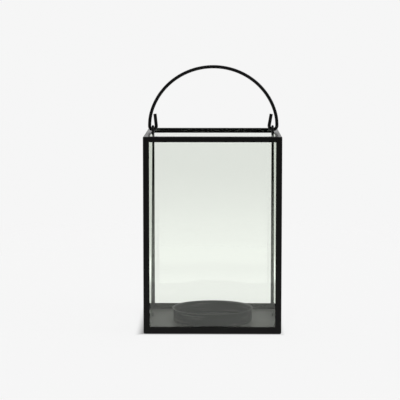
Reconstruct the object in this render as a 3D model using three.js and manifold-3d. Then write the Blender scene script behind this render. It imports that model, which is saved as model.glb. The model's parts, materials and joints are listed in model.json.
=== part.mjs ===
// Candle lantern: a square glazed frame of folded steel angle, open at the top, with a candle
// cup on its base plate and a wire bail that swings in two rings welded to the side rails.
// Millimetres, +Z up. The origin is on the ground under the middle of the lantern, and the
// front faces -Y.

import * as THREE from "three";
import { mergeVertices } from "three/addons/utils/BufferGeometryUtils.js";
import Module from "manifold-3d";

const wasm = await Module();
wasm.setup();

// ---------------------------------------------------------------- driving dimensions

// The body, over its outside faces.
const WIDTH = 150;
const DEPTH = 150;
const BODY_HEIGHT = 215.4;

// The folded angles: sheet thickness, leg lengths and the outside radius of each fold.
const SHEET = 0.8;
const POST_LEG = 6.7;
const POST_BEND = 1.2;
const TOP_RAIL_HEIGHT = 5.9;
const TOP_RAIL_FLANGE = 6.6;
const TOP_RAIL_BEND = 1.2;
const BASE_RAIL_HEIGHT = 8.1;
const BASE_RAIL_FLANGE = 8.1;
const BASE_RAIL_BEND = 2.4;

// Clearances: seams that are welded shut, and the play that glass and plate are laid in with.
const SEAM = 0.1;
const FIT_GAP = 0.3;

// The glass, and where each loose side pane stands in its play between posts and tabs: 0 is against
// the posts and 1 against the tabs, at its foot and at its head.
const PANE_THICKNESS = 2;
const PANE_FOOT = { left: 0.55, right: 0.7 };
const PANE_HEAD = { left: 1, right: 0.9 };

// The bent tabs that keep the glass in the frame: two above and two below each pane.
const TAB_LENGTH = 12;
const TAB_DROP = 4;
const TOP_TAB_FROM_CORNER = 30;
const BASE_TAB_FROM_CORNER = 45;

// The candle cup: a pressed dish with a flat lip.
const CUP_RADIUS = 44.3;
const CUP_HEIGHT = 14.9;
const CUP_LIP = 2.1;
const CUP_LIP_BEND = 0.6;
const CUP_FLOOR_BEND = 2.2;

// The rings that carry the bail, to the middle of their wire.
const EYE_RADIUS = 4.8;
const EYE_WIRE = 2.7;
const EYE_ABOVE_RAIL = 1.8;

// The bail: a wire arch whose ends are bent into hooks. It was bent by hand, so its right hook is a
// little rounder than its left one and hangs further out in its ring.
const BAIL_WIRE = 3.7;
const BAIL_RISE = 70;
const BAIL_FLARE = 0.65;
const BAIL_PLAY = 0.4;
const HOOK_SLACK = { left: 0.5, right: 1.1 };
const HOOK_OUTBOARD = { left: 0, right: 0.5 };
const HOOK_TIP_ABOVE_PIVOT = 17.5;
const HOOK_LEAN = { left: THREE.MathUtils.degToRad(6), right: THREE.MathUtils.degToRad(10) };
const ARCH_JOIN = THREE.MathUtils.degToRad(15);
const ARCH_CENTRE_ABOVE_PIVOT = 0.8;

// How finely round shapes are divided.
const BEND_SEGMENTS = 2;
const WIRE_SIDES = 12;
const BAIL_STEPS = 150;
const EYE_STEPS = 28;
const CUP_STEPS = 64;

// ---------------------------------------------------------------- places worked out from them

const POST_BOTTOM = BASE_RAIL_HEIGHT + SEAM;
const POST_TOP = BODY_HEIGHT - TOP_RAIL_HEIGHT - SEAM;
const PLATE_TOP = 2 * SHEET;
const PANE_BOTTOM = PLATE_TOP + FIT_GAP;
const PANE_TOP = BODY_HEIGHT - SHEET - FIT_GAP;
const PANE_INSET = SHEET + FIT_GAP;
const PANE_INNER = PANE_INSET + PANE_THICKNESS;
const PANE_PLAY = TOP_RAIL_FLANGE - SHEET - FIT_GAP - PANE_INNER;
const EYE_X = WIDTH / 2 - TOP_RAIL_FLANGE - SEAM - EYE_WIRE / 2;
const EYE_Z = BODY_HEIGHT + EYE_ABOVE_RAIL;
const WIRE_CONTACT = (EYE_WIRE + BAIL_WIRE) / 2;
const PIVOT_Z = EYE_Z + EYE_RADIUS - WIRE_CONTACT - BAIL_PLAY;

// ---------------------------------------------------------------- materials

const blackPaint = new THREE.MeshStandardMaterial({ color: 0x1c1c1b, roughness: 0.42, metalness: 0.2 });
const platePaint = new THREE.MeshStandardMaterial({ color: 0x2a2b29, roughness: 0.38, metalness: 0.2 });
const cupPaint = new THREE.MeshStandardMaterial({ color: 0x333433, roughness: 0.45, metalness: 0.3 });
const wirePaint = new THREE.MeshStandardMaterial({ color: 0x191918, roughness: 0.4, metalness: 0.2 });
const clearGlass = new THREE.MeshStandardMaterial({
  color: 0xdfe8dd,
  roughness: 0.05,
  metalness: 0,
  transparent: true,
  opacity: 0.3,
});

// ---------------------------------------------------------------- geometry helpers

/** A closed geometry as a solid that can be cut and joined. */
function toSolid(geometry) {
  const shell = geometry.clone();
  shell.deleteAttribute("normal");
  shell.deleteAttribute("uv");
  const merged = mergeVertices(shell);
  const vertProperties = merged.attributes.position.array;
  const triVerts = new Uint32Array(merged.index.array);
  return new wasm.Manifold(new wasm.Mesh({ numProp: 3, vertProperties, triVerts }));
}

/** A solid as a geometry that a mesh can show. */
function toGeometry(solid) {
  const { vertProperties, triVerts } = solid.getMesh();
  const geometry = new THREE.BufferGeometry();
  geometry.setAttribute("position", new THREE.BufferAttribute(vertProperties, 3));
  geometry.setIndex(new THREE.BufferAttribute(triVerts, 1));
  geometry.computeVertexNormals();
  return geometry;
}

/** A prism: the shape in the XY plane, drawn up along +Z. */
function prism(shape, height) {
  return new THREE.ExtrudeGeometry(shape, {
    depth: height,
    bevelEnabled: false,
    curveSegments: BEND_SEGMENTS,
  });
}

/** A round wire along a curve. */
function wire(path, diameter, steps) {
  const section = new THREE.Shape().absarc(0, 0, diameter / 2, 0, 2 * Math.PI, false);
  return new THREE.ExtrudeGeometry(section, {
    steps,
    extrudePath: path,
    curveSegments: WIRE_SIDES / 2,
  });
}

/** A mesh with its node name, at a place. */
function named(name, geometry, material, x = 0, y = 0, z = 0) {
  const mesh = new THREE.Mesh(geometry, material);
  mesh.name = name;
  mesh.position.set(x, y, z);
  return mesh;
}

/** An elliptical arc in the XZ plane; angles run from +X towards +Z. */
class ArcXZ extends THREE.Curve {
  constructor(centreX, centreZ, radiusX, radiusZ, from, to) {
    super();
    Object.assign(this, { centreX, centreZ, radiusX, radiusZ, from, to });
  }

  getPoint(t, target = new THREE.Vector3()) {
    const angle = THREE.MathUtils.lerp(this.from, this.to, t);
    const x = this.centreX + this.radiusX * Math.cos(angle);
    const z = this.centreZ + this.radiusZ * Math.sin(angle);
    return target.set(x, 0, z);
  }
}

// ---------------------------------------------------------------- the frame

/** Section of a folded angle: its outside corner at the origin, its legs along +X and +Y. */
function angleSection(legX, legY, bend) {
  const section = new THREE.Shape();
  section.moveTo(bend, 0);
  section.lineTo(legX, 0);
  section.lineTo(legX, SHEET);
  section.absarc(bend, bend, bend - SHEET, -Math.PI / 2, -Math.PI, true);
  section.lineTo(SHEET, legY);
  section.lineTo(0, legY);
  section.absarc(bend, bend, bend, Math.PI, 1.5 * Math.PI, false);
  return section;
}

/** The space of one mitred rail: 45 degree ends, outside corners rounded to match the posts. */
function mitreBlank(length, flange, height) {
  const end = length / 2 - SEAM;
  const reach = flange + POST_BEND;
  const plan = new THREE.Shape();
  plan.absarc(POST_BEND - end, POST_BEND, POST_BEND, 1.25 * Math.PI, 1.5 * Math.PI, false);
  plan.absarc(end - POST_BEND, POST_BEND, POST_BEND, 1.5 * Math.PI, 1.75 * Math.PI, false);
  plan.lineTo(end - reach, reach);
  plan.lineTo(reach - end, reach);
  return prism(plan, 3 * height).translate(0, 0, -height);
}

/**
 * One mitred rail along X. Its outside face lies in the plane y = 0 and its flange points to +Y,
 * at z = 0. It stands up from there, or hangs down if flangeOnTop.
 */
function rail(length, height, flange, bend, flangeOnTop) {
  const up = flangeOnTop ? -1 : 1;
  const turn = new THREE.Matrix4().makeBasis(
    new THREE.Vector3(0, 1, 0),
    new THREE.Vector3(0, 0, up),
    new THREE.Vector3(up, 0, 0),
  );
  const bar = prism(angleSection(flange, height, bend), length).translate(0, 0, -length / 2);
  const blank = mitreBlank(length, flange, height).translate(0, 0, flangeOnTop ? -height : 0);
  return toGeometry(toSolid(bar.applyMatrix4(turn)).intersect(toSolid(blank)));
}

/** The four sides, in quarter turns from the front: name, run of the rail, distance from the axis. */
const SIDES = [
  { name: "front", turn: 0, run: WIDTH, out: DEPTH / 2 },
  { name: "right", turn: 1, run: DEPTH, out: WIDTH / 2 },
  { name: "back", turn: 2, run: WIDTH, out: DEPTH / 2 },
  { name: "left", turn: 3, run: DEPTH, out: WIDTH / 2 },
];

/** A group for what belongs to one side: its own y = 0 is the outside face, +Y points inwards. */
function sideGroup(side) {
  const angle = (side.turn * Math.PI) / 2;
  const group = new THREE.Group();
  group.rotation.z = angle;
  group.position.set(side.out * Math.sin(angle), -side.out * Math.cos(angle), 0);
  return group;
}

/** The top and bottom rails of one side. */
function rails(side) {
  const top = rail(side.run, TOP_RAIL_HEIGHT, TOP_RAIL_FLANGE, TOP_RAIL_BEND, true);
  const bottom = rail(side.run, BASE_RAIL_HEIGHT, BASE_RAIL_FLANGE, BASE_RAIL_BEND, false);
  return [
    named(`top_rail_${side.name}`, top, blackPaint, 0, 0, BODY_HEIGHT),
    named(`bottom_rail_${side.name}`, bottom, blackPaint),
  ];
}

/** The four corner posts, each an upright angle between the two rings of rails. */
function posts() {
  const corners = [
    { name: "front_left", x: -WIDTH / 2, y: -DEPTH / 2, turn: 0 },
    { name: "front_right", x: WIDTH / 2, y: -DEPTH / 2, turn: 1 },
    { name: "back_right", x: WIDTH / 2, y: DEPTH / 2, turn: 2 },
    { name: "back_left", x: -WIDTH / 2, y: DEPTH / 2, turn: 3 },
  ];
  return corners.map(({ name, x, y, turn }) => {
    const bar = prism(angleSection(POST_LEG, POST_LEG, POST_BEND), POST_TOP - POST_BOTTOM);
    const post = named(`post_${name}`, bar, blackPaint, x, y, POST_BOTTOM);
    post.rotation.z = (turn * Math.PI) / 2;
    return post;
  });
}

// ---------------------------------------------------------------- the glass and its tabs

/**
 * The pane of one side. Front and back panes run across the whole width. The side panes stand
 * between them, away from their posts and leaning inwards about their bottom edge.
 */
function pane(side) {
  const acrossWhole = side.name === "front" || side.name === "back";
  const foot = PANE_PLAY * (PANE_FOOT[side.name] ?? 0);
  const head = PANE_PLAY * (PANE_HEAD[side.name] ?? 0);
  const width = side.run - 2 * (acrossWhole ? PANE_INSET : PANE_INNER) - 2 * FIT_GAP;
  const height = PANE_TOP - PANE_BOTTOM;
  const sheet = new THREE.BoxGeometry(width, PANE_THICKNESS, height);
  sheet.translate(0, PANE_THICKNESS / 2, height / 2);
  const mesh = named(`glass_${side.name}`, sheet, clearGlass, 0, PANE_INSET + foot, PANE_BOTTOM);
  mesh.rotation.x = -Math.atan2(head - foot, height);
  return mesh;
}

/** The four tabs of one side: hung from the top flange, and standing on the base plate. */
function tabs(side) {
  const strip = new THREE.BoxGeometry(TAB_LENGTH, SHEET, TAB_DROP);
  const inset = TOP_RAIL_FLANGE - SHEET / 2;
  const topZ = BODY_HEIGHT - SHEET - TAB_DROP / 2;
  const baseZ = PLATE_TOP + TAB_DROP / 2;
  return [-1, 1].flatMap((end) => {
    const where = `${side.name}_${end < 0 ? "a" : "b"}`;
    const topX = end * (side.run / 2 - TOP_TAB_FROM_CORNER);
    const baseX = end * (side.run / 2 - BASE_TAB_FROM_CORNER);
    return [
      named(`top_tab_${where}`, strip, blackPaint, topX, inset, topZ),
      named(`base_tab_${where}`, strip, blackPaint, baseX, inset, baseZ),
    ];
  });
}

// ---------------------------------------------------------------- the base and the candle cup

/** The base plate, laid on the bottom rails' flanges inside their folds. */
function basePlate() {
  const margin = BASE_RAIL_BEND + FIT_GAP;
  const sheet = new THREE.BoxGeometry(WIDTH - 2 * margin, DEPTH - 2 * margin, SHEET);
  return named("base_plate", sheet, platePaint, 0, 0, 1.5 * SHEET);
}

/** The candle cup: a dish with rounded floor and a flat lip turned outwards. */
function candleCup() {
  const inside = CUP_RADIUS - SHEET;
  const floorBend = CUP_RADIUS - CUP_FLOOR_BEND;
  const lipStart = CUP_RADIUS + CUP_LIP_BEND;
  const lipBendZ = CUP_HEIGHT - SHEET - CUP_LIP_BEND;
  const half = new THREE.Path();
  half.moveTo(0, 0);
  half.lineTo(floorBend, 0);
  half.absarc(floorBend, CUP_FLOOR_BEND, CUP_FLOOR_BEND, -Math.PI / 2, 0, false);
  half.absarc(lipStart, lipBendZ, CUP_LIP_BEND, Math.PI, Math.PI / 2, true);
  half.lineTo(CUP_RADIUS + CUP_LIP, CUP_HEIGHT - SHEET);
  half.lineTo(CUP_RADIUS + CUP_LIP, CUP_HEIGHT);
  half.absarc(lipStart, lipBendZ, CUP_LIP_BEND + SHEET, Math.PI / 2, Math.PI, false);
  half.lineTo(inside, CUP_FLOOR_BEND);
  half.absarc(floorBend, CUP_FLOOR_BEND, CUP_FLOOR_BEND - SHEET, 0, -Math.PI / 2, true);
  half.lineTo(0, SHEET);
  const dish = new THREE.LatheGeometry(half.getPoints(BEND_SEGMENTS), CUP_STEPS).rotateX(Math.PI / 2);
  return named("candle_cup", dish, cupPaint, 0, 0, PLATE_TOP);
}

// ---------------------------------------------------------------- the rings and the bail

/** A ring that stands across the inner edge of a side rail's flange. */
function eye(name, side) {
  const ring = new THREE.TorusGeometry(EYE_RADIUS, EYE_WIRE / 2, WIRE_SIDES, EYE_STEPS);
  ring.rotateY(Math.PI / 2);
  return named(name, ring, wirePaint, side * EYE_X, 0, EYE_Z);
}

/** One hook of the bail: its bend's middle and radius, its outer side, and its free end's line. */
function hook(name) {
  const sign = name === "left" ? -1 : 1;
  const lean = HOOK_LEAN[name];
  const radius = WIRE_CONTACT + HOOK_SLACK[name];
  const x = EYE_X + HOOK_OUTBOARD[name];
  const z = PIVOT_Z + radius;
  const startX = x - radius * Math.cos(lean);
  const startZ = z + radius * Math.sin(lean);
  const rise = PIVOT_Z + HOOK_TIP_ABOVE_PIVOT - startZ;
  return {
    lean,
    radius,
    middle: new THREE.Vector3(sign * x, 0, z),
    outer: new THREE.Vector3(sign * (x + radius), 0, z),
    start: new THREE.Vector3(sign * startX, 0, startZ),
    tip: new THREE.Vector3(sign * (startX + rise * Math.tan(lean)), 0, startZ + rise),
  };
}

/** The middle of the bail's wire, from the left tip over the arch to the right tip. */
function bailPath() {
  const left = hook("left");
  const right = hook("right");
  const archMiddle = (left.outer.x + right.outer.x) / 2;
  const archHalf = (right.outer.x - left.outer.x) / 2 + BAIL_FLARE;
  const archZ = PIVOT_Z + ARCH_CENTRE_ABOVE_PIVOT;
  const archRise = BAIL_RISE - ARCH_CENTRE_ABOVE_PIVOT;

  // From each hook's outer side the wire sweeps smoothly into the arch.
  const sweep = (sign, outer) => {
    const join = new THREE.Vector3(
      archMiddle + sign * archHalf * Math.cos(ARCH_JOIN),
      0,
      archZ + archRise * Math.sin(ARCH_JOIN),
    );
    const pull = outer.distanceTo(join) / 3;
    const slope = new THREE.Vector3(
      -sign * archHalf * Math.sin(ARCH_JOIN),
      0,
      archRise * Math.cos(ARCH_JOIN),
    ).setLength(pull);
    return [outer, new THREE.Vector3(outer.x, 0, outer.z + pull), join.clone().sub(slope), join];
  };

  const path = new THREE.CurvePath();
  path.add(new THREE.LineCurve3(left.tip, left.start));
  path.add(new ArcXZ(left.middle.x, left.middle.z, left.radius, left.radius, left.lean, -Math.PI));
  path.add(new THREE.CubicBezierCurve3(...sweep(-1, left.outer)));
  path.add(new ArcXZ(archMiddle, archZ, archHalf, archRise, Math.PI - ARCH_JOIN, ARCH_JOIN));
  path.add(new THREE.CubicBezierCurve3(...sweep(1, right.outer).reverse()));
  path.add(
    new ArcXZ(right.middle.x, right.middle.z, right.radius, right.radius, 0, -Math.PI - right.lean),
  );
  path.add(new THREE.LineCurve3(right.start, right.tip));
  return path;
}

// ---------------------------------------------------------------- the assembly

const lantern = new THREE.Group();
lantern.add(...posts());
for (const side of SIDES) {
  const group = sideGroup(side);
  group.add(...rails(side), pane(side), ...tabs(side));
  lantern.add(group);
}
lantern.add(basePlate(), candleCup());
lantern.add(eye("bail_eye_left", -1), eye("bail_eye_right", 1));
lantern.add(named("bail_handle", wire(bailPath(), BAIL_WIRE, BAIL_STEPS), wirePaint));

export default lantern;
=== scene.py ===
"""Finished looks of a square candle lantern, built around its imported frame.

The lantern is a welded frame of folded steel angle, open at the top. Four panes stand loose in it,
held by small welded tabs. A base plate carries a spun candle cup, and a wire bail swings in two rings
that are welded to the side rails. Everything is in metres, +Z up, with the front towards -Y.
"""

import json
import logging
import math
from abc import ABC, abstractmethod
from dataclasses import dataclass
from enum import Enum
from typing import Any, Iterable, Sequence

import bmesh
import bpy
from mathutils import Matrix, Vector


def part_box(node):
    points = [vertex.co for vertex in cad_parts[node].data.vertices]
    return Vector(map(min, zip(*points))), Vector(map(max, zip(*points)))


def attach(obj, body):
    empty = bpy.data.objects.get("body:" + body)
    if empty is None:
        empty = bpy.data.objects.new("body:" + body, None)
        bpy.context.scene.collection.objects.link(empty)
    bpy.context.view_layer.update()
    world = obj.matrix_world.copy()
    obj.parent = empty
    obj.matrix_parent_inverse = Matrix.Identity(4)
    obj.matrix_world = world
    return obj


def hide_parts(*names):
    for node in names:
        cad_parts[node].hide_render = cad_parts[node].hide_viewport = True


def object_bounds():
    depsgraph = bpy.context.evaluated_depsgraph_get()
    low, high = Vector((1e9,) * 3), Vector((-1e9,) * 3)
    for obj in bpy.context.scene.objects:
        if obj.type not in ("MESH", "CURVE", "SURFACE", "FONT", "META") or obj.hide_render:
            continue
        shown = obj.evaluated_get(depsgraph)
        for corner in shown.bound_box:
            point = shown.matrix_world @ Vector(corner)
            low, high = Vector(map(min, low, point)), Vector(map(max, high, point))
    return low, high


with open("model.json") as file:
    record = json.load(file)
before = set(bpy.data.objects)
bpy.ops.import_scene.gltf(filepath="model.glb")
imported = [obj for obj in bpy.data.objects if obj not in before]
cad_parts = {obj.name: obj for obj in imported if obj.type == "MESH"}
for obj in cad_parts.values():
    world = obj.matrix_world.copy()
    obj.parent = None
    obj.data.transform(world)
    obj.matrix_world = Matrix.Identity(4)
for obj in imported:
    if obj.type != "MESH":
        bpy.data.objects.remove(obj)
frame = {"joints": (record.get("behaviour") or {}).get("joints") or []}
CAD_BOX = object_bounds()

MM = 0.001
MERGE_DISTANCE = 1e-7
SHARP_ANGLE = math.radians(32)
BODY = "lantern_body"
BAIL = "bail"
LOG = logging.getLogger("candle_lantern")

Colour = tuple[float, float, float]
Ring = list[tuple[Vector, float]]


# ------------------------------------------------------------------------------- node arithmetic


class Signal:
    """The output of a node, which can be used in arithmetic with numbers and other outputs."""

    def __init__(self, board: "Board", socket: bpy.types.NodeSocket) -> None:
        """Wraps a socket of one of the board's nodes."""
        self.board = board
        self.socket = socket

    def __add__(self, other: "Signal | float") -> "Signal":
        """Sum."""
        return self.board.maths("ADD", self, other)

    def __sub__(self, other: "Signal | float") -> "Signal":
        """Difference."""
        return self.board.maths("SUBTRACT", self, other)

    def __rsub__(self, other: float) -> "Signal":
        """Difference with the number on the left."""
        return self.board.maths("SUBTRACT", other, self)

    def __mul__(self, other: "Signal | float") -> "Signal":
        """Product."""
        return self.board.maths("MULTIPLY", self, other)

    def __pow__(self, other: float) -> "Signal":
        """Power."""
        return self.board.maths("POWER", self, other)

    def between(self, low: float, high: float) -> "Signal":
        """A value that runs from low to high as this one goes from 0 to 1."""
        return self * (high - low) + low


class Board:
    """A node tree that is filled by plain calls."""

    def __init__(self, tree: bpy.types.NodeTree) -> None:
        """Takes over a tree and empties it."""
        self.tree = tree
        tree.nodes.clear()

    @staticmethod
    def _find(sockets: Any, key: str | int) -> bpy.types.NodeSocket:
        """The socket with that number, or the first one in use with that name."""
        if isinstance(key, int):
            return sockets[key]
        return next(socket for socket in sockets if socket.name == key and socket.enabled)

    def node(
        self,
        kind: str,
        inputs: dict[str | int, Any] | None = None,
        output: str | int | None = 0,
        **settings: Any,
    ) -> Signal | None:
        """Adds a node.

        Args:
            kind: the node's type.
            inputs: a value or a Signal for each input, by name or number.
            output: which output to return, or None for a node that ends the tree.
            settings: its own options, set before anything is connected.

        Returns:
            The wanted output.
        """
        made = self.tree.nodes.new(kind)
        for name, value in settings.items():
            setattr(made, name, value)
        for key, value in (inputs or {}).items():
            socket = self._find(made.inputs, key)
            if isinstance(value, Signal):
                self.tree.links.new(value.socket, socket)
            else:
                socket.default_value = value
        return None if output is None else Signal(self, self._find(made.outputs, output))

    def maths(self, operation: str, *values: Signal | float) -> Signal:
        """A Math node on one or two values."""
        return self.node("ShaderNodeMath", dict(enumerate(values)), operation=operation)

    def join(self, **parts: Signal | float) -> Signal:
        """A vector of the given X, Y and Z; a part that is left out is 0."""
        return self.node("ShaderNodeCombineXYZ", parts)

    def split(self, vector: Signal) -> list[Signal]:
        """The X, Y and Z of a vector."""
        return [self.node("ShaderNodeSeparateXYZ", {"Vector": vector}, axis) for axis in "XYZ"]

    def attribute(self, name: str) -> Signal:
        """A number that each point carries, in a geometry tree."""
        return self.node("GeometryNodeInputNamedAttribute", {"Name": name}, data_type="FLOAT")

    def blend(self, factor: Signal, first: Any, second: Any) -> Signal:
        """A colour between two colours."""
        inputs = {"Factor": factor, "A": first, "B": second}
        return self.node("ShaderNodeMix", inputs, "Result", data_type="RGBA")

    def bump(self, height: Signal, distance: float, under: Signal | None = None) -> Signal:
        """A normal bent by a height, on top of another bent normal if one is given."""
        inputs: dict[str | int, Any] = {"Strength": 1.0, "Distance": distance, "Height": height}
        if under is not None:
            inputs["Normal"] = under
        return self.node("ShaderNodeBump", inputs)


@dataclass(frozen=True)
class Fade:
    """A soft ramp: nothing up to start, its strength from full on. Full may be the lower one."""

    start: float
    full: float
    strength: float = 1.0

    def on(self, value: Signal) -> Signal:
        """The ramp over a value."""
        low, high = sorted((self.start, self.full))
        inputs = {"Value": value, "From Min": low, "From Max": high}
        step = value.board.node("ShaderNodeMapRange", inputs, interpolation_type="SMOOTHSTEP")
        return (step if self.start < self.full else 1.0 - step) * self.strength


@dataclass(frozen=True)
class Grain:
    """Soft noise from 0 to 1: its cells per metre, its finer octaves and how much they count."""

    cells: float
    detail: float = 2.0
    rough: float = 0.5

    def on(self, place: Signal) -> Signal:
        """The noise at a place."""
        inputs = {"Vector": place, "Scale": self.cells, "Detail": self.detail, "Roughness": self.rough}
        return place.board.node("ShaderNodeTexNoise", inputs, noise_dimensions="3D")


def opaque(colour: Colour, gain: float = 1.0) -> tuple[float, float, float, float]:
    """A colour with full alpha, as colour sockets take it, lightened if wanted."""
    red, green, blue = colour
    return (red * gain, green * gain, blue * gain, 1.0)


def grey(value: float) -> tuple[float, float, float, float]:
    """A grey, as colour sockets take it."""
    return opaque((value, value, value))


# -------------------------------------------------------------------------------------- finishes


class Finish(ABC):
    """A surface's look, which comes from the place on the object."""

    name: str

    @abstractmethod
    def shader(self, board: Board, place: Signal) -> Signal:
        """The shader of the surface at a place."""

    def material(self) -> bpy.types.Material:
        """Makes the material."""
        made = bpy.data.materials.new(self.name)
        made.use_nodes = True
        board = Board(made.node_tree)
        surface = self.shader(board, board.node("ShaderNodeTexCoord", output="Object"))
        board.node("ShaderNodeOutputMaterial", {"Surface": surface}, None)
        return made


@dataclass(frozen=True)
class PowderCoat(Finish):
    """Satin black powder coat, baked on: faint orange peel, thinner and of another gloss on edges.

    It goes on pieces that carry an "edge" attribute. Elsewhere it has no worn edges.
    """

    name: str
    colour: Colour
    edge_colour: Colour
    roughness: float = 0.30
    roughness_spread: float = 0.07
    edge_polish: float = 0.06
    least_wear: float = 0.4
    peel: Grain = Grain(850.0)
    peel_height: float = 0.030 * MM
    grit: Grain = Grain(4200.0, 1.0)
    grit_height: float = 0.006 * MM
    clouds: Grain = Grain(26.0, 3.0, 0.6)
    cloud_share: float = 0.6
    cloud_fade: Fade = Fade(0.3, 0.7)
    cloud_lift: float = 1.5
    waves: Grain = Grain(60.0, 1.0)
    wave_height: float = 0.02 * MM
    ior: float = 1.20

    def shader(self, board: Board, place: Signal) -> Signal:
        """The coat: its tint and gloss, with peel and grit over the metal's own marks."""
        peel, grit, clouds = self.peel.on(place), self.grit.on(place), self.clouds.on(place)
        edge = board.node("ShaderNodeAttribute", output="Fac", attribute_name="edge")
        thin = edge * peel.between(self.least_wear, 1.0)
        gloss = clouds * self.cloud_share + grit * (1 - self.cloud_share)
        spread = gloss.between(-self.roughness_spread, self.roughness_spread)
        tint = self.tint(board, place, clouds)
        normal = board.bump(grit, self.grit_height, self.relief(board, place))
        return board.node(
            "ShaderNodeBsdfPrincipled",
            {
                "Base Color": board.blend(thin, tint, opaque(self.edge_colour)),
                "Roughness": spread + self.roughness - thin * self.edge_polish,
                "IOR": self.ior,
                "Normal": board.bump(peel, self.peel_height, normal),
            },
        )

    def tint(self, board: Board, place: Signal, clouds: Signal) -> Signal:
        """The coat's colour away from the edges, a little lighter in soft clouds."""
        lighter = opaque(self.colour, self.cloud_lift)
        return board.blend(self.cloud_fade.on(clouds), opaque(self.colour), lighter)

    def relief(self, board: Board, place: Signal) -> Signal:
        """The metal's own marks under the coat: here only the slow, shallow waviness of rolled sheet."""
        return board.bump(self.waves.on(place), self.wave_height)


@dataclass(frozen=True)
class SpunCoat(PowderCoat):
    """The same coat over a dish that was spun on a lathe, with the tool's fine rings showing and painted
    highlights in light wisps along the rings, mostly on the wall.
    """

    ring_pitch: float = 0.9 * MM
    ring_height: float = 0.016 * MM
    ring_wander: float = 0.9
    streak_cells: float = 520.0
    streak_grain: Grain = Grain(1.0)
    streak_height: float = 0.05 * MM
    # painted highlight: colour of light wisps along the rings that stand for blurred reflections, more
    # on the wall than on the floor
    burnish: Colour = (0.13, 0.13, 0.125)
    burnish_fade: Fade = Fade(0.51, 0.74)
    floor_share: float = 0.25
    wall_fade: Fade = Fade(2.4 * MM, 5 * MM)

    def travel(self, board: Board, place: Signal) -> tuple[Signal, Signal, Signal]:
        """How far along the dish's section a place is, and which way it lies from the axis."""
        across, along, up = board.split(place)
        radius = board.maths("SQRT", across * across + along * along)
        return radius + up, board.maths("DIVIDE", across, radius), board.maths("DIVIDE", along, radius)

    def streaks(self, board: Board, place: Signal) -> Signal:
        """Noise drawn out along the tool's rings."""
        travel, turn, side = self.travel(board, place)
        wander = self.ring_wander
        drawn_out = board.join(X=travel * self.streak_cells, Y=turn * wander, Z=side * wander)
        return self.streak_grain.on(drawn_out)

    def tint(self, board: Board, place: Signal, clouds: Signal) -> Signal:
        """The coat's colour, with painted highlights in light wisps along the rings, mostly on the wall.
        """
        painted_highlight_wisps = self.burnish_fade.on(self.streaks(board, place))
        highlight_share_on_wall = self.wall_fade.on(board.split(place)[2]).between(self.floor_share, 1.0)
        # painted highlights mixed into the coat's colour
        return board.blend(painted_highlight_wisps * highlight_share_on_wall, super().tint(board, place, clouds), opaque(self.burnish))

    def relief(self, board: Board, place: Signal) -> Signal:
        """Rings about the dish's axis: an even thread and broken streaks along it."""
        thread = board.maths("SINE", self.travel(board, place)[0] * (2 * math.pi / self.ring_pitch))
        normal = board.bump(thread, self.ring_height)
        return board.bump(self.streaks(board, place), self.streak_height, normal)


@dataclass(frozen=True)
class SheetCoat(PowderCoat):
    """The coat on a flat sheet, with the long faint lines of the mill in it."""

    waves: Grain = Grain(45.0, 1.0)
    wave_height: float = 0.05 * MM
    lines: Grain = Grain(900.0)
    line_stretch: float = 0.03
    line_height: float = 0.008 * MM

    def relief(self, board: Board, place: Signal) -> Signal:
        """Mill lines along X over the slow waviness."""
        inputs = {"Vector": place, "Scale": (self.line_stretch, 1.0, 1.0)}
        stretched = board.node("ShaderNodeMapping", inputs, vector_type="POINT")
        return board.bump(self.lines.on(stretched), self.line_height, super().relief(board, place))


@dataclass(frozen=True)
class FloatGlass(Finish):
    """Clear float glass for closed panes, whose two faces each pass and mirror light.

    It mirrors more the flatter it is looked along, and has a faint green cast.
    """

    name: str = "clear_float_glass"
    cast: Colour = (0.980, 0.990, 0.973)
    mirror: Colour = (0.97, 1.0, 0.95)
    head_on: float = 0.04
    falloff: float = 5.0
    polish: float = 0.012
    smear: float = 0.05
    smears: Grain = Grain(14.0, 4.0, 0.65)
    smear_fade: Fade = Fade(0.52, 0.8)
    waves: Grain = Grain(9.0, 0.0)
    wave_height: float = 0.012 * MM

    def shader(self, board: Board, place: Signal) -> Signal:
        """What is seen through the pane, mixed with what it mirrors."""
        facing = board.node("ShaderNodeLayerWeight", {"Blend": 0.5}, "Facing")
        share = (facing ** self.falloff).between(self.head_on, 1.0)
        smears = self.smear_fade.on(self.smears.on(place))
        through = board.node("ShaderNodeBsdfTransparent", {"Color": opaque(self.cast)})
        mirrored = board.node(
            "ShaderNodeBsdfAnisotropic",
            {
                "Color": opaque(self.mirror),
                "Roughness": smears.between(self.polish, self.smear),
                "Normal": board.bump(self.waves.on(place), self.wave_height),
            },
        )
        return board.node("ShaderNodeMixShader", {0: share, 1: through, 2: mirrored})


@dataclass(frozen=True)
class GroundEdge(Finish):
    """The ground edge of a pane: frosted and green, because light runs along inside the sheet, and
    darkened as painted shade for the shade under the flanges.
    """

    name: str = "ground_glass_edge"
    # painted shade: the edge colour is kept dark to stand for the shade under the flanges
    colour: Colour = (0.018, 0.032, 0.026)
    alpha: float = 0.55
    finest: float = 0.35
    coarsest: float = 0.6
    grind: Grain = Grain(2600.0)
    grind_height: float = 0.01 * MM
    grind_lift: float = 1.3

    def shader(self, board: Board, place: Signal) -> Signal:
        """Frosted glass that lets some light through."""
        grind = self.grind.on(place)
        pale = opaque(self.colour, self.grind_lift)
        return board.node(
            "ShaderNodeBsdfPrincipled",
            {
                "Base Color": board.blend(grind, opaque(self.colour), pale),
                "Roughness": grind.between(self.finest, self.coarsest),
                "Alpha": self.alpha,
                "Normal": board.bump(grind, self.grind_height),
            },
        )


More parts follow.
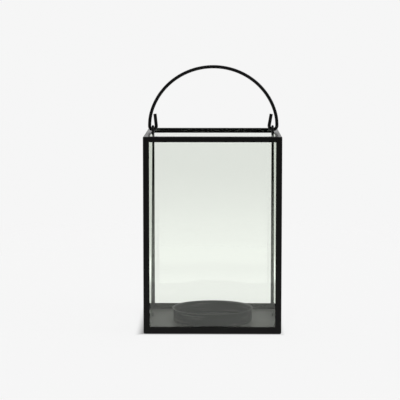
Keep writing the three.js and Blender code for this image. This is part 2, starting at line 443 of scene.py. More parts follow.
FRAME_COAT = PowderCoat("frame_powder_coat", (0.0034, 0.0034, 0.0032), (0.008, 0.008, 0.0075))
WIRE_COAT = PowderCoat(
    "wire_powder_coat",
    (0.0040, 0.0040, 0.0040),
    (0.009, 0.009, 0.009),
    roughness=0.28,
)
PLATE_COAT = SheetCoat(
    "plate_powder_coat",
    (0.050, 0.051, 0.046),
    (0.065, 0.065, 0.060),
    roughness=0.52,
)
CUP_COAT = SpunCoat(
    "cup_powder_coat",
    (0.0085, 0.0087, 0.0084),
    (0.012, 0.012, 0.0115),
    roughness=0.44,
    edge_polish=-0.25,
)


# ------------------------------------------------------------------------------------ mesh tools


@dataclass(frozen=True)
class Spot:
    """One point of a section: its place, the way out of the metal there, and 1 on a rounded edge."""

    place: Vector
    out: Vector
    edge: float

    def inset(self, depth: float) -> Vector:
        """The place, moved into the metal."""
        return self.place - self.out * depth


def arc_spots(
    centre: Vector,
    radius: float,
    start: float,
    end: float,
    steps: int,
    edge: float,
) -> list[Spot]:
    """Points of a section along an arc.

    Args:
        centre: middle of the arc.
        radius: its radius.
        start: first angle in degrees.
        end: last angle in degrees; below start the arc is hollow and the metal lies outside it.
        steps: number of straight stretches.
        edge: how much of a rounded edge the points are, from 0 to 1.

    Returns:
        The points in order.
    """
    hollow = -1.0 if end < start else 1.0
    spots = []
    for step in range(steps + 1):
        angle = math.radians(start + (end - start) * step / steps)
        away = Vector((math.cos(angle), math.sin(angle)))
        spots.append(Spot(centre + away * radius, away * hollow, edge))
    return spots


def quarter_round(radius: float, steps: int) -> list[tuple[float, float]]:
    """How far from an end, and how deep, each point lies on the quarter round that breaks its edge."""
    angles = [math.pi / 2 * step / steps for step in range(steps + 1)]
    return [(radius * (1 - math.cos(angle)), radius * (1 - math.sin(angle))) for angle in angles]


def upright_levels(bottom: float, top: float, radius: float, steps: int) -> list[tuple[float, float]]:
    """Height and depth of each ring of an upright piece whose two ends have broken edges."""
    broken = quarter_round(radius, steps)
    lower = [(bottom + rise, depth) for rise, depth in broken]
    return lower + [(top - rise, depth) for rise, depth in reversed(broken)]


def span(box: Sequence[Any], axis: int) -> float:
    """How long a box is along an axis."""
    return box[1][axis] - box[0][axis]


def link(thing: bpy.types.Object) -> bpy.types.Object:
    """Puts an object into the scene."""
    bpy.context.scene.collection.objects.link(thing)
    return thing


def crease(mesh: bpy.types.Mesh) -> bpy.types.Mesh:
    """Shades a mesh smooth, but sharp at its corners."""
    mesh.shade_smooth()
    mesh.set_sharp_from_angle(angle=SHARP_ANGLE)
    return mesh


def shell(name: str, rings: Sequence[Ring], capped: bool = True) -> bpy.types.Object:
    """A closed skin over a row of rings with the same number of points.

    Args:
        name: the piece's name.
        rings: the rings in order, each point with its edge value.
        capped: whether flat faces close the first and last ring.

    Returns:
        The piece, smooth where it is round and sharp at its corners.
    """
    work = bmesh.new()
    edges = work.verts.layers.float.new("edge")
    rows = []
    for ring in rings:
        row = []
        for place, edge in ring:
            vertex = work.verts.new(place)
            vertex[edges] = edge
            row.append(vertex)
        rows.append(row)
    for row, following in zip(rows, rows[1:]):
        for index in range(len(row)):
            after = (index + 1) % len(row)
            work.faces.new((row[index], row[after], following[after], following[index]))
    if capped:
        work.faces.new(rows[0])
        work.faces.new(rows[-1])
    bmesh.ops.remove_doubles(work, verts=work.verts, dist=MERGE_DISTANCE)
    bmesh.ops.recalc_face_normals(work, faces=work.faces)
    mesh = bpy.data.meshes.new(name)
    work.to_mesh(mesh)
    work.free()
    return link(bpy.data.objects.new(name, crease(mesh)))


def even_out(piece: bpy.types.Object) -> bpy.types.Object:
    """Makes the flats shade flat beside their rounded edges."""
    modifier = piece.modifiers.new("flat_faces", "WEIGHTED_NORMAL")
    modifier.keep_sharp = True
    return piece


def place_piece(
    piece: bpy.types.Object,
    nodes: Iterable[str],
    materials: Sequence[bpy.types.Material] = (),
    body: str = BODY,
) -> None:
    """Dresses a finished piece and ties it to the frame.

    Args:
        piece: the piece, in place.
        nodes: the CAD nodes that it stands for.
        materials: its materials in slot order; none keeps those that it has.
        body: the body that it moves with.
    """
    for material in materials:
        piece.data.materials.append(material)
    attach(piece, body)
    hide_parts(*nodes)
    LOG.info("%s: %d faces on %s", piece.name, len(piece.data.polygons), body)


# -------------------------------------------------------------------------- Geometry Nodes tools


class Shaper:
    """A Geometry Nodes tree that is written in code and run on a mesh of points."""

    INPUT_KINDS = {float: "NodeSocketFloat", int: "NodeSocketInt"}

    def __init__(self, name: str) -> None:
        """Starts a tree with a geometry input, a material input and a geometry output."""
        self.tree = bpy.data.node_groups.new(name, "GeometryNodeTree")
        self.board = Board(self.tree)
        self.identifiers: dict[str, str] = {}
        self._add("Points", "NodeSocketGeometry", "INPUT")
        self._add("Finish", "NodeSocketMaterial", "INPUT")
        self._add("Piece", "NodeSocketGeometry", "OUTPUT")

    def _add(self, name: str, kind: str, way: str) -> None:
        """Adds a socket to the tree's own interface."""
        made = self.tree.interface.new_socket(name, in_out=way, socket_type=kind)
        self.identifiers[name] = made.identifier

    def given(self, name: str) -> Signal:
        """One of the tree's own inputs."""
        return self.board.node("NodeGroupInput", output=name)

    def size(self, name: str, kind: type = float) -> Signal:
        """A new named input for a size or a count."""
        self._add(name, self.INPUT_KINDS[kind], "INPUT")
        return self.given(name)

    def circle(self, steps: Signal, radius: Signal) -> Signal:
        """A round curve."""
        inputs = {"Resolution": steps, "Radius": radius}
        return self.board.node("GeometryNodeCurvePrimitiveCircle", inputs)

    def sweep(self, line: Signal, section: Signal, girth: Signal | float = 1.0) -> Signal:
        """A section swept along a line, with closed ends."""
        inputs = {"Curve": line, "Profile Curve": section, "Scale": girth, "Fill Caps": True}
        return self.board.node("GeometryNodeCurveToMesh", inputs)

    def on_points(self, copied: Signal, placing: dict[str | int, Any]) -> Signal:
        """A copy of a shape on each point, turned or scaled as placing says."""
        inputs = {"Points": self.given("Points"), "Instance": copied, **placing}
        return self.board.node("GeometryNodeInstanceOnPoints", inputs)

    def realize(self, geometry: Signal) -> Signal:
        """Copies made into real geometry."""
        return self.board.node("GeometryNodeRealizeInstances", {"Geometry": geometry})

    def finish(self, geometry: Signal) -> "Shaper":
        """Ends the tree with real geometry in its material."""
        inputs = {"Geometry": self.realize(geometry), "Material": self.given("Finish")}
        dressed = self.board.node("GeometryNodeSetMaterial", inputs)
        self.board.node("NodeGroupOutput", {"Piece": dressed}, None)
        return self

    def run(
        self,
        name: str,
        points: bpy.types.Mesh,
        material: bpy.types.Material,
        sizes: dict[str, float | int],
    ) -> bpy.types.Object:
        """Runs the tree once and keeps the result as a plain mesh.

        Args:
            name: the piece's name.
            points: the mesh that the tree starts from.
            material: the finish that it sets.
            sizes: a value for each named input.

        Returns:
            The piece, without its modifier.
        """
        piece = link(bpy.data.objects.new(name, points))
        modifier = piece.modifiers.new("shape", "NODES")
        modifier.node_group = self.tree
        modifier[self.identifiers["Finish"]] = material
        for label, value in sizes.items():
            modifier[self.identifiers[label]] = value
        depsgraph = bpy.context.evaluated_depsgraph_get()
        mesh = bpy.data.meshes.new_from_object(piece.evaluated_get(depsgraph), depsgraph=depsgraph)
        mesh.name = name
        piece.modifiers.clear()
        piece.data = crease(mesh)
        bpy.data.meshes.remove(points)
        return piece


def point_mesh(
    name: str,
    places: Sequence[Vector],
    joined: bool = False,
    values: dict[str, Sequence[float]] | None = None,
) -> bpy.types.Mesh:
    """A mesh of bare points, or of one line through them.

    Args:
        name: the mesh's name.
        places: where the points are.
        joined: whether a line runs through them.
        values: numbers that the points carry, by attribute name.

    Returns:
        The mesh.
    """
    mesh = bpy.data.meshes.new(name)
    lines = [(index, index + 1) for index in range(len(places) - 1)] if joined else []
    mesh.from_pydata([tuple(place) for place in places], lines, [])
    for label, numbers in (values or {}).items():
        mesh.attributes.new(label, "FLOAT", "POINT").data.foreach_set("value", list(numbers))
    return mesh


def wire_shaper() -> Shaper:
    """A tree that draws a round wire along a line whose points carry a "girth" share."""
    shaper = Shaper("wire_along_path")
    radius = shaper.size("Wire Radius")
    sides = shaper.size("Sides", int)
    line = shaper.board.node("GeometryNodeMeshToCurve", {"Mesh": shaper.given("Points")})
    section = shaper.circle(sides, radius)
    return shaper.finish(shaper.sweep(line, section, shaper.board.attribute("girth")))


def ring_shaper() -> Shaper:
    """A tree that stands a wire ring across the X axis at each point."""
    shaper = Shaper("rings_on_points")
    ring_radius = shaper.size("Ring Radius")
    wire_radius = shaper.size("Wire Radius")
    steps = shaper.size("Steps", int)
    sides = shaper.size("Sides", int)
    ring = shaper.sweep(shaper.circle(steps, ring_radius), shaper.circle(sides, wire_radius))
    return shaper.finish(shaper.on_points(ring, {"Rotation": (0.0, math.pi / 2, 0.0)}))


def bead_shaper(stretch: Vector, seed: int) -> Shaper:
    """A tree that drops a small, slightly lumpy weld bead on each point.

    Args:
        stretch: how long, wide and high the bead is for its radius.
        seed: which set of lumps the beads get.

    Returns:
        The tree.
    """
    shaper = Shaper("weld_beads_on_points")
    board = shaper.board
    radius = shaper.size("Bead Radius")
    lump = shaper.size("Lump Height")
    cells = shaper.size("Lump Cells")
    ball = board.node("GeometryNodeMeshIcoSphere", {"Radius": radius, "Subdivisions": 4})
    real = shaper.realize(shaper.on_points(ball, {"Scale": stretch}))
    place = board.node("GeometryNodeInputPosition")
    inputs = {"Vector": place, "W": float(seed), "Scale": cells, "Detail": 1.0}
    lumps = board.node("ShaderNodeTexNoise", inputs, noise_dimensions="4D")
    height = (lumps - 0.5) * lump
    normal = board.node("GeometryNodeInputNormal")
    shift = board.node("ShaderNodeVectorMath", {0: normal, "Scale": height}, operation="SCALE")
    return shaper.finish(board.node("GeometryNodeSetPosition", {"Geometry": real, "Offset": shift}))


def tab_shaper(corner_steps: int) -> Shaper:
    """A tree that stands a strip with rounded corners at each point, turned by its "turn" value."""
    shaper = Shaper("tabs_on_points")
    board = shaper.board
    length = shaper.size("Length")
    drop = shaper.size("Drop")
    sheet = shaper.size("Sheet")
    corner = shaper.size("Corner")
    outline = board.node("GeometryNodeCurvePrimitiveQuadrilateral", {"Width": length, "Height": drop})
    inputs = {"Curve": outline, "Count": corner_steps, "Radius": corner}
    rounded = board.node("GeometryNodeFilletCurve", inputs, mode="POLY")
    spine = board.node("GeometryNodeCurvePrimitiveLine", {"End": board.join(Z=sheet)})
    inputs = {
        "Geometry": shaper.sweep(spine, rounded),
        "Translation": board.join(Y=sheet * 0.5),
        "Rotation": (math.pi / 2, 0.0, 0.0),
    }
    strip = board.node("GeometryNodeTransform", inputs)
    return shaper.finish(shaper.on_points(strip, {"Rotation": board.join(Z=board.attribute("turn"))}))


# --------------------------------------------------------------------------------- the assembly


class Where(Enum):
    """Somewhere on the lantern that node names speak of."""

    @property
    def label(self) -> str:
        """Its name as it stands in node names."""
        return self.name.lower()


class Side(Where):
    """The lantern's four sides, numbered by their quarter turns from the front."""

    FRONT = 0
    RIGHT = 1
    BACK = 2
    LEFT = 3

    @property
    def turn(self) -> float:
        """The side's turn from the front, in radians."""
        return self.value * math.pi / 2

    @property
    def axes(self) -> tuple[int, int]:
        """The axis that runs along the side, and the one that runs through it."""
        return (0, 1) if self.value % 2 == 0 else (1, 0)

    def matrix(self) -> Matrix:
        """Turns a shape that was built at the front to this side."""
        return Matrix.Rotation(self.turn, 4, "Z")

    def half_run(self) -> float:
        """Half the length of this side."""
        return span(CAD_BOX, self.axes[0]) / 2

    def out(self) -> float:
        """How far this side's outside face is from the middle."""
        return span(CAD_BOX, self.axes[1]) / 2


class Corner(Where):
    """The lantern's four corners, with the signs of their X and Y."""

    FRONT_LEFT = (-1, -1)
    FRONT_RIGHT = (1, -1)
    BACK_RIGHT = (1, 1)
    BACK_LEFT = (-1, 1)


@dataclass
class AngleFrame:
    """The welded frame: four corner posts and two rings of mitred rails, all of folded angle."""

    sheet: float = 0.8 * MM
    sheared_edge: float = 0.15 * MM
    post_fold: float = 1.2 * MM
    top_fold: float = 1.2 * MM
    base_fold: float = 2.4 * MM
    fold_steps: int = 8
    edge_steps: int = 3
    fold_wear: float = 0.5

    def section(self, flange: float, height: float, fold: float) -> list[Spot]:
        """Section of a folded angle, its outside corner at the origin and its legs along +X and +Y.

        Args:
            flange: length of the leg along +X.
            height: length of the leg along +Y.
            fold: outside radius of the fold.

        Returns:
            The outline, anticlockwise.
        """
        edge, sheet = self.sheared_edge, self.sheet
        middle = Vector((fold, fold))
        corners = (
            (Vector((flange - edge, edge)), -90),
            (Vector((flange - edge, sheet - edge)), 0),
            (Vector((sheet - edge, height - edge)), 0),
            (Vector((edge, height - edge)), 90),
        )
        steps = self.edge_steps
        tips = [arc_spots(centre, edge, start, start + 90, steps, 1.0) for centre, start in corners]
        inside = arc_spots(middle, fold - sheet, -90, -180, self.fold_steps, 0.0)
        outside = arc_spots(middle, fold, 180, 270, self.fold_steps, self.fold_wear)
        return tips[0] + tips[1] + inside + tips[2] + tips[3] + outside

    def post(self, corner: Corner) -> bpy.types.Object:
        """One upright post between the two rings of rails, its ends broken round as its edges are."""
        node = f"post_{corner.label}"
        leg = span(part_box(node), 0)
        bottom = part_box("bottom_rail_front")[1].z
        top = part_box("top_rail_front")[0].z
        sign_x, sign_y = corner.value
        corner_x, corner_y = sign_x * Side.FRONT.half_run(), sign_y * Side.FRONT.out()
        section = self.section(leg, leg, self.post_fold)
        rings = []
        for height, depth in upright_levels(bottom, top, self.sheared_edge, self.edge_steps):
            ring = []
            for spot in section:
                place = spot.inset(depth)
                where = Vector((corner_x - sign_x * place.x, corner_y - sign_y * place.y, height))
                ring.append((where, max(spot.edge, depth / self.sheared_edge)))
            rings.append(ring)
        return even_out(shell(f"angle_{node}", rings))

    def rail(self, side: Side, node: str, fold: float, flange_on_top: bool) -> bpy.types.Object:
        """One rail along a side, mitred at both ends and rounded in plan to meet the posts.

        Args:
            side: the side that it runs along.
            node: the CAD node that it stands for.
            fold: outside radius of its fold.
            flange_on_top: whether it hangs from its flange instead of standing on it.

        Returns:
            The rail.
        """
        low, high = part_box(node)
        half, out, round_off = side.half_run(), side.out(), self.post_fold
        section = self.section(span((low, high), side.axes[1]), high.z - low.z, fold)
        turn = side.matrix()
        rings = []
        for end in (-1, 1):
            angles = [math.pi / 4 * step / self.fold_steps for step in range(self.fold_steps + 1)]
            for angle in angles if end > 0 else reversed(angles):
                ring = []
                for spot in section:
                    inward, rise = spot.place
                    run = half - inward
                    if inward < round_off:
                        run = half - round_off + (round_off - inward) * math.sin(angle)
                        inward = round_off - (round_off - inward) * math.cos(angle)
                    height = high.z - rise if flange_on_top else low.z + rise
                    ring.append((turn @ Vector((end * run, inward - out, height)), spot.edge))
                rings.append(ring)
        return even_out(shell(f"angle_{node}", rings))

    def build(self) -> None:
        """Builds, paints and places the twelve angles."""
        coat = FRAME_COAT.material()
        for corner in Corner:
            place_piece(self.post(corner), [f"post_{corner.label}"], [coat])
        for side in Side:
            top, bottom = f"top_rail_{side.label}", f"bottom_rail_{side.label}"
            place_piece(self.rail(side, top, self.top_fold, True), [top], [coat])
            place_piece(self.rail(side, bottom, self.base_fold, False), [bottom], [coat])


@dataclass
class Glazing:
    """The four loose panes, each with ground edges, standing as the frame says."""

    thickness: float = 2.0 * MM
    arris: float = 0.2 * MM
    face_cosine: float = 0.9

    def pane(self, side: Side) -> bpy.types.Object:
        """One pane. It leans inwards about its bottom outside edge as far as its box is deep.

        Args:
            side: the side that it closes.

        Returns:
            The pane, its two faces in the first material and its ground edge in the second.
        """
        low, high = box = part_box(f"glass_{side.label}")
        across, deep = side.axes
        half_width = span(box, across) / 2
        outside = max(abs(low[deep]), abs(high[deep]))
        height = high.z - low.z
        lean = math.asin((span(box, deep) - self.thickness) / height)
        stand = Matrix.Translation((0, -outside, low.z)) @ Matrix.Rotation(-lean, 4, "X")
        stand = side.matrix() @ stand
        layers = (
            (0.0, self.arris),
            (self.arris, 0.0),
            (self.thickness - self.arris, 0.0),
            (self.thickness, self.arris),
        )
        rings = []
        for depth, inset in layers:
            x, bottom, top = half_width - inset, inset, height - inset
            corners = ((-x, bottom), (x, bottom), (x, top), (-x, top))
            rings.append([(stand @ Vector((u, depth, v)), 0.0) for u, v in corners])
        piece = shell(f"pane_{side.label}", rings)
        facing = stand.to_3x3() @ Vector((0, 1, 0))
        for face in piece.data.polygons:
            face.material_index = 0 if abs(face.normal @ facing) > self.face_cosine else 1
        return piece

    def build(self) -> None:
        """Builds the panes and gives them their glass."""
        materials = [FloatGlass().material(), GroundEdge().material()]
        for side in Side:
            place_piece(self.pane(side), [f"glass_{side.label}"], materials)


@dataclass
class GlassTabs:
    """The small tabs that keep the panes in: eight hung from the top flanges, eight on the plate."""

    corner: float = 1.1 * MM
    corner_steps: int = 5

    def row(self, kind: str, coat: PowderCoat) -> None:
        """Makes all tabs of one kind.

        Args:
            kind: the first word of the nodes that they stand for.
            coat: the coat of the metal that they are welded to, whose colours they share.
        """
        name = f"glass_tabs_{kind}"
        nodes = [f"{kind}_tab_{side.label}_{end}" for side in Side for end in "ab"]
        turns = [side.turn for side in Side for _ in "ab"]
        middles = [sum(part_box(node), Vector()) / 2 for node in nodes]
        length, sheet, drop = (span(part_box(nodes[0]), axis) for axis in range(3))
        sizes = {"Length": length, "Drop": drop, "Sheet": sheet, "Corner": self.corner}
        finish = PowderCoat(f"{kind}_tab_powder_coat", coat.colour, coat.edge_colour)
        points = point_mesh(f"{name}_points", middles, values={"turn": turns})
        tabs = tab_shaper(self.corner_steps).run(name, points, finish.material(), sizes)
        place_piece(tabs, nodes)

    def build(self) -> None:
        """Builds and places both rows."""
        self.row("top", FRAME_COAT)
        self.row("base", PLATE_COAT)


@dataclass
class BasePlate:
    """The flat sheet that lies on the bottom flanges, its corners nipped round and its edges broken."""

    corner: float = 1.5 * MM
    edge: float = 0.2 * MM
    steps: int = 5

    def build(self) -> None:
        """Builds, paints and places the plate."""
        low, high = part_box("base_plate")
        half = Vector((high.x - self.corner, high.y - self.corner))
        outline: list[Spot] = []
        for quarter, (sign_x, sign_y) in enumerate(((1, 1), (-1, 1), (-1, -1), (1, -1))):
            centre = Vector((sign_x * half.x, sign_y * half.y))
            outline += arc_spots(centre, self.corner, 90 * quarter, 90 * quarter + 90, self.steps, 1.0)
        rings = []
        for height, depth in upright_levels(low.z, high.z, self.edge, self.steps):
            lift = Vector((0, 0, height))
            rings.append([(spot.inset(depth).to_3d() + lift, spot.edge) for spot in outline])
        piece = even_out(shell("plate_of_base", rings))
        place_piece(piece, ["base_plate"], [PLATE_COAT.material()])


@dataclass
class CandleCup:
    """The spun dish for the candle: flat floor, upright wall and a lip turned out and broken round."""

    sheet: float = 0.8 * MM
    floor_bend: float = 2.2 * MM
    lip: float = 2.1 * MM
    lip_bend: float = 0.6 * MM
    edge: float = 0.3 * MM
    bend_wear: float = 0.3
    steps: int = 192
    bend_steps: int = 7

    def profile(self, rim: float, bottom: float, top: float) -> list[Spot]:
        """Half the dish's section, from the axis under the floor round the lip and back to the axis.

        Args:
            rim: radius of the lip's edge.
            bottom: height of the underside.
            top: height of the lip.

        Returns:
            The outline, as radius and height.
        """
        wall = rim - self.lip
        steps = self.bend_steps
        floor = Vector((wall - self.floor_bend, bottom + self.floor_bend))
        lip = Vector((wall + self.lip_bend, top - self.sheet - self.lip_bend))
        edge_low = Vector((rim - self.edge, top - self.sheet + self.edge))
        edge_high = Vector((rim - self.edge, top - self.edge))
        under = Spot(Vector((0.0, bottom)), Vector((0.0, -1.0)), 0.0)
        seat = Spot(Vector((0.0, bottom + self.sheet)), Vector((0.0, 1.0)), 0.0)
        return [
            under,
            *arc_spots(floor, self.floor_bend, -90, 0, steps, self.bend_wear),
            *arc_spots(lip, self.lip_bend, 180, 90, steps, 0.0),
            *arc_spots(edge_low, self.edge, -90, 0, steps, 1.0),
            *arc_spots(edge_high, self.edge, 0, 90, steps, 1.0),
            *arc_spots(lip, self.lip_bend + self.sheet, 90, 180, steps, self.bend_wear),
            *arc_spots(floor, self.floor_bend - self.sheet, 0, -90, steps, 0.0),
            seat,
        ]

    def build(self) -> None:
        """Spins the section into the dish, paints it and places it."""
        low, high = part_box("candle_cup")
        middle = (low + high) / 2
        section = self.profile(high.x - middle.x, low.z, high.z)
        rings = []
        for spot in section:
            ring = []
            for step in range(self.steps):
                angle = 2 * math.pi * step / self.steps
                radius, height = spot.place
                where = Vector((radius * math.cos(angle), radius * math.sin(angle), height))
                ring.append((where + Vector((middle.x, middle.y, 0.0)), spot.edge))
            rings.append(ring)
        piece = even_out(shell("cup_for_candle", rings, capped=False))
        place_piece(piece, ["candle_cup"], [CUP_COAT.material()])


@dataclass
class BailRings:
    """The two rings that carry the bail, and the beads that weld them to the side rails' flanges."""

    wire: float = 2.7 * MM
    bead: float = 1.0 * MM
    bead_stretch: tuple[float, float, float] = (1.0, 1.35, 0.8)
    lump: float = 0.25 * MM
    lump_cells: float = 1100.0
    steps: int = 48
    sides: int = 20
    seed: int = 7

    def build(self) -> None:
        """Builds, paints and places the rings and their welds."""
        coat = WIRE_COAT.material()
        low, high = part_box("bail_eye_right")
        centre = (low + high) / 2
        radius = (high.z - low.z - self.wire) / 2
        sizes = {
            "Ring Radius": radius,
            "Wire Radius": self.wire / 2,
            "Steps": self.steps,
            "Sides": self.sides,
        }
        for name, sign in (("left", -1), ("right", 1)):
            points = point_mesh(f"ring_{name}_points", [Vector((sign * centre.x, centre.y, centre.z))])
            ring = ring_shaper().run(f"ring_{name}", points, coat, sizes)
            place_piece(ring, [f"bail_eye_{name}"])
        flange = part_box("top_rail_right")[1].z - AngleFrame.sheet / 2
        spread = math.sqrt(radius**2 - (centre.z - flange) ** 2)
        places = [
            Vector((sign_x * (centre.x + self.wire / 2), sign_y * spread, flange))
            for sign_x in (-1, 1)
            for sign_y in (-1, 1)
        ]
        sizes = {"Bead Radius": self.bead, "Lump Height": self.lump, "Lump Cells": self.lump_cells}
        points = point_mesh("weld_points", places)
        shaper = bead_shaper(Vector(self.bead_stretch), self.seed)
        beads = shaper.run("ring_weld_beads", points, coat, sizes)
        place_piece(beads, [])


@dataclass(frozen=True)
class Hook:
    """How one end of the bail is bent: its side, its bend's radius and place, its free end's lean."""

    sign: int
    radius: float
    outboard: float
    lean: float


@dataclass
class BailHandle:
    """The bail: one wire bent by hand into a flat arch, with an open hook through each ring."""

    wire: float = 3.7 * MM
    left: Hook = Hook(-1, 3.7 * MM, 0.0, math.radians(6))
    right: Hook = Hook(1, 4.3 * MM, 0.5 * MM, math.radians(10))
    flare: float = 0.65 * MM
    arch_above_pivot: float = 0.8 * MM
    tip_above_pivot: float = 17.5 * MM
    arch_join: float = math.radians(15)
    cut_edge: float = 0.3 * MM
    cut_steps: int = 5
    tip_steps: int = 6
    hook_steps: int = 26
    shoulder_steps: int = 14
    arch_steps: int = 96
    sides: int = 28

    @staticmethod
    def sweep(knots: Sequence[Vector], steps: int) -> list[Vector]:
        """Points along a cubic curve with four knots, without the first one."""
        points = []
        for step in range(1, steps + 1):
            share = step / steps
            rest = 1 - share
            weights = (rest**3, 3 * rest**2 * share, 3 * rest * share**2, share**3)
            points.append(sum((knot * weight for knot, weight in zip(knots, weights)), Vector()))
        return points

    @staticmethod
    def arc(centre: Vector, half: Vector, start: float, end: float, steps: int) -> list[Vector]:
        """Points along an upright ellipse's arc, without the first one; half is its half size."""
        points = []
        for step in range(1, steps + 1):
            angle = start + (end - start) * step / steps
            points.append(centre + Vector((half.x * math.cos(angle), 0.0, half.z * math.sin(angle))))
        return points

    def outer_side(self, hook: Hook, pivot: float, eye_x: float) -> Vector:
        """The outermost point of a hook's bend, where the wire turns up towards the arch."""
        return Vector((hook.sign * (eye_x + hook.outboard + hook.radius), 0.0, pivot + hook.radius))

    def half_path(
        self,
        hook: Hook,
        outer: Vector,
        pivot: float,
        middle: Vector,
        arch: Vector,
    ) -> list[Vector]:
        """The wire's middle from one free end to where the arch starts.

        Args:
            hook: the bends of this end.
            outer: the outermost point of its hook's bend.
            pivot: height of the line that the bail swings about.
            middle: centre of the arch.
            arch: its half width along X and its rise along Z.

        Returns:
            The points in order.
        """
        bend = outer - Vector((hook.sign * hook.radius, 0.0, 0.0))
        inward = Vector((-hook.sign * math.cos(hook.lean), 0.0, math.sin(hook.lean)))
        start = bend + inward * hook.radius
        rise = pivot + self.tip_above_pivot - start.z
        tip = start + Vector((hook.sign * rise * math.tan(hook.lean), 0.0, rise))
        across, up = math.cos(self.arch_join), math.sin(self.arch_join)
        join = middle + Vector((hook.sign * arch.x * across, 0.0, arch.z * up))
        slope = Vector((-hook.sign * arch.x * up, 0.0, arch.z * across)).normalized()
        pull = (join - outer).length / 3
        points = [tip.lerp(start, step / self.tip_steps) for step in range(self.tip_steps + 1)]
        round_bend = Vector((hook.sign * hook.radius, 0.0, hook.radius))
        points += self.arc(bend, round_bend, math.pi - hook.lean, 2 * math.pi, self.hook_steps)
        knots = [outer, outer + Vector((0.0, 0.0, pull)), join - slope * pull, join]
        return points + self.sweep(knots, self.shoulder_steps)

    def path(self) -> list[Vector]:
        """The wire's middle from the left tip over the arch to the right tip."""
        pivot = frame["joints"][0]["pos_m"][2]
        eye_low, eye_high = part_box("bail_eye_right")
        eye_x = (eye_low.x + eye_high.x) / 2
        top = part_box("bail_handle")[1].z - self.wire / 2
        left, right = (self.outer_side(hook, pivot, eye_x) for hook in (self.left, self.right))
        arch_z = pivot + self.arch_above_pivot
        middle = Vector(((left.x + right.x) / 2, 0.0, arch_z))
        arch = Vector(((right.x - left.x) / 2 + self.flare, 0.0, top - arch_z))
        rising = self.half_path(self.left, left, pivot, middle, arch)
        falling = self.half_path(self.right, right, pivot, middle, arch)
        over = self.arc(middle, arch, math.pi - self.arch_join, self.arch_join, self.arch_steps)
        return rising + over + falling[-2::-1]

    def broken_ends(self, path: list[Vector]) -> tuple[list[Vector], list[float]]:
        """Adds the points that break the edges of both cut ends.

        Args:
            path: the wire's middle.

        Returns:
            The path with a few close points at each end, and the wire's girth share at each point.
        """
        broken = quarter_round(self.cut_edge, self.cut_steps)[:-1]
        girth = [1 - 2 * depth / self.wire for _, depth in broken]
        ends = []
        for tip, following in ((path[0], path[1]), (path[-1], path[-2])):
            along = (following - tip).normalized()
            ends.append([tip + along * distance for distance, _ in broken])
        left, right = ends
        shares = girth + [1.0] * (len(path) - 2) + girth[::-1]
        return left + path[1:-1] + right[::-1], shares

    def build(self) -> None:
        """Bends the wire, paints it and hangs it on the bail's body."""
        path, girth = self.broken_ends(self.path())
        points = point_mesh("bail_path", path, joined=True, values={"girth": girth})
        sizes = {"Wire Radius": self.wire / 2, "Sides": self.sides}
        piece = wire_shaper().run("bail_wire", points, WIRE_COAT.material(), sizes)
        place_piece(piece, ["bail_handle"], body=BAIL)


# ------------------------------------------------------------------------------------ the studio


@dataclass(frozen=True)
class PaleTable(Finish):
    """A table that glows evenly, fades out far off, and takes a soft shadow by the lantern: a painted
    shadow in its glow, and a faint real one on its matt part.
    """

    name: str = "pale_table"
    glow: float = 0.838
    white: float = 0.09
    end: Fade = Fade(0.45, 1.0)
    # painted shadow: the glow fades over this reach round the lantern, shifted to the left and back
    contact: Fade = Fade(-8 * MM, 8 * MM)
    contact_shift: float = 2.5 * MM
    # painted reflection: glossy rays see the table's glow brighter in a band round the lantern
    mirrored_gain: float = 1.55
    mirrored_from: Fade = Fade(0.26, 0.34)
    mirrored_to: Fade = Fade(0.55, 0.42)

    def open_sky(self, board: Board, place: Signal) -> Signal:
        """How much of its glow a place keeps under the painted shadow: little under the lantern, all of
        it a little way off.
        """
        x, y, _ = board.split(place)
        across = board.maths("ABSOLUTE", x + self.contact_shift) - Side.FRONT.half_run()
        along = board.maths("ABSOLUTE", y - self.contact_shift) - Side.FRONT.out()
        return self.contact.on(board.maths("MAXIMUM", across, along))

    def shader(self, board: Board, place: Signal) -> Signal:
        """The table, with a painted reflection: a bright band round the lantern that only mirrors show.
        """
        distance = board.node("ShaderNodeVectorMath", {0: place}, "Value", operation="LENGTH")
        mirrored = board.node("ShaderNodeLightPath", output="Is Glossy Ray")
        painted_reflection_band = self.mirrored_from.on(distance) * self.mirrored_to.on(distance)
        # painted shadow: the glow is taken away under and beside the lantern
        strength = self.open_sky(board, place) * (mirrored * painted_reflection_band).between(1.0, self.mirrored_gain)
        glow = board.node("ShaderNodeEmission", {"Color": grey(self.glow), "Strength": strength})
        matt = board.node("ShaderNodeBsdfDiffuse", {"Color": grey(self.white)})
        solid = board.node("ShaderNodeAddShader", {0: glow, 1: matt})
        clear = board.node("ShaderNodeBsdfTransparent")
        return board.node("ShaderNodeMixShader", {0: self.end.on(distance), 1: solid, 2: clear})


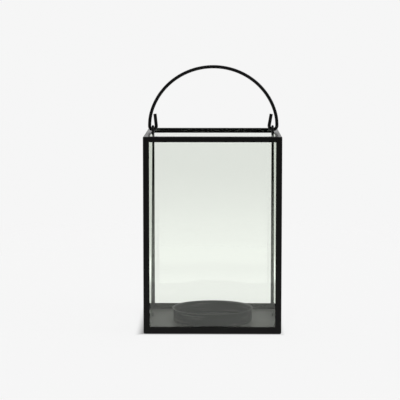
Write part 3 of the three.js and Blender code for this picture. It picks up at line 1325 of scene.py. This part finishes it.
@dataclass
class Studio:
    """A plain pale table in soft light, and the camera in front of it."""

    pale: float = 0.921
    room_dark: float = 0.015
    overhead: Fade = Fade(0.45, 0.9, 1.1)
    right_wall: Fade = Fade(0.15, 0.8, 0.55)
    left_wall: Fade = Fade(-0.25, -0.9, 0.16)
    backdrop: Fade = Fade(-0.1, 0.3)
    below: Fade = Fade(-0.085, -0.142)
    far_table: float = 0.83
    near_table: Fade = Fade(-0.14, -0.2, 0.17)
    table_radius: float = 1.2
    table_sides: int = 96
    sun_strength: float = 0.55
    sun_spread: float = math.radians(38)
    sun_turn: tuple[float, float, float] = (math.radians(48), 0.0, math.radians(72))
    camera_place: tuple[float, float, float] = (0.00506, -1.79186, 0.33801)
    camera_down: float = 0.11069
    camera_turn: float = 0.01079
    lens: float = 144.17
    sensor: float = 36.0
    camera_reach: float = 50.0
    clear_surfaces: int = 24

    def surroundings(self) -> None:
        """What lights the lantern: a bright backdrop, a dark room in front, a soft light above."""
        world = bpy.data.worlds.new("studio")
        bpy.context.scene.world = world
        world.use_nodes = True
        board = Board(world.node_tree)
        right, back, up = board.split(board.node("ShaderNodeTexCoord", output="Generated"))
        walls = self.right_wall.on(right) + self.left_wall.on(right)
        room = self.overhead.on(up) + walls + self.room_dark
        above = room + self.backdrop.on(back) * (self.pale - room)
        table = self.near_table.on(up) + self.far_table
        light = above + self.below.on(up) * (table - above)
        lit = board.node("ShaderNodeBackground", {"Color": light})
        plain = board.node("ShaderNodeBackground", {"Color": grey(self.pale)})
        seen = board.node("ShaderNodeLightPath", output="Is Camera Ray")
        mixed = board.node("ShaderNodeMixShader", {0: seen, 1: lit, 2: plain})
        board.node("ShaderNodeOutputWorld", {"Surface": mixed}, None)

    def table(self) -> None:
        """The table top, wide enough to fade out before it ends."""
        radius = self.table_radius
        bpy.ops.mesh.primitive_circle_add(vertices=self.table_sides, radius=radius, fill_type="NGON")
        top = bpy.context.object
        top.name = "table_top"
        top.data.materials.append(PaleTable().material())

    def lamp(self) -> None:
        """One broad soft light from the upper right."""
        sun = bpy.data.lights.new("soft_key", "SUN")
        sun.energy = self.sun_strength
        sun.angle = self.sun_spread
        holder = link(bpy.data.objects.new("soft_key", sun))
        holder.rotation_euler = self.sun_turn

    def camera(self) -> None:
        """The camera, looking slightly down at the front."""
        lens = bpy.data.cameras.new("camera")
        lens.lens = self.lens
        lens.sensor_width = self.sensor
        lens.clip_end = self.camera_reach
        holder = link(bpy.data.objects.new("camera", lens))
        holder.location = self.camera_place
        holder.rotation_euler = (math.pi / 2 - self.camera_down, 0.0, self.camera_turn)
        bpy.context.scene.camera = holder

    def build(self) -> None:
        """Sets up everything around the lantern."""
        scene = bpy.context.scene
        scene.view_settings.view_transform = "Standard"
        scene.cycles.transparent_max_bounces = self.clear_surfaces
        self.camera()
        self.surroundings()
        self.table()
        self.lamp()


# ------------------------------------------------------------------------------------------ main


def main() -> None:
    """Builds the studio and then the lantern, sub-assembly by sub-assembly."""
    logging.basicConfig(level=logging.INFO, format="%(name)s: %(message)s")
    Studio().build()
    for assembly in (AngleFrame, BasePlate, CandleCup, GlassTabs, Glazing, BailRings, BailHandle):
        LOG.info("building %s", assembly.__name__)
        assembly().build()


if __name__ == "__main__":
    main()
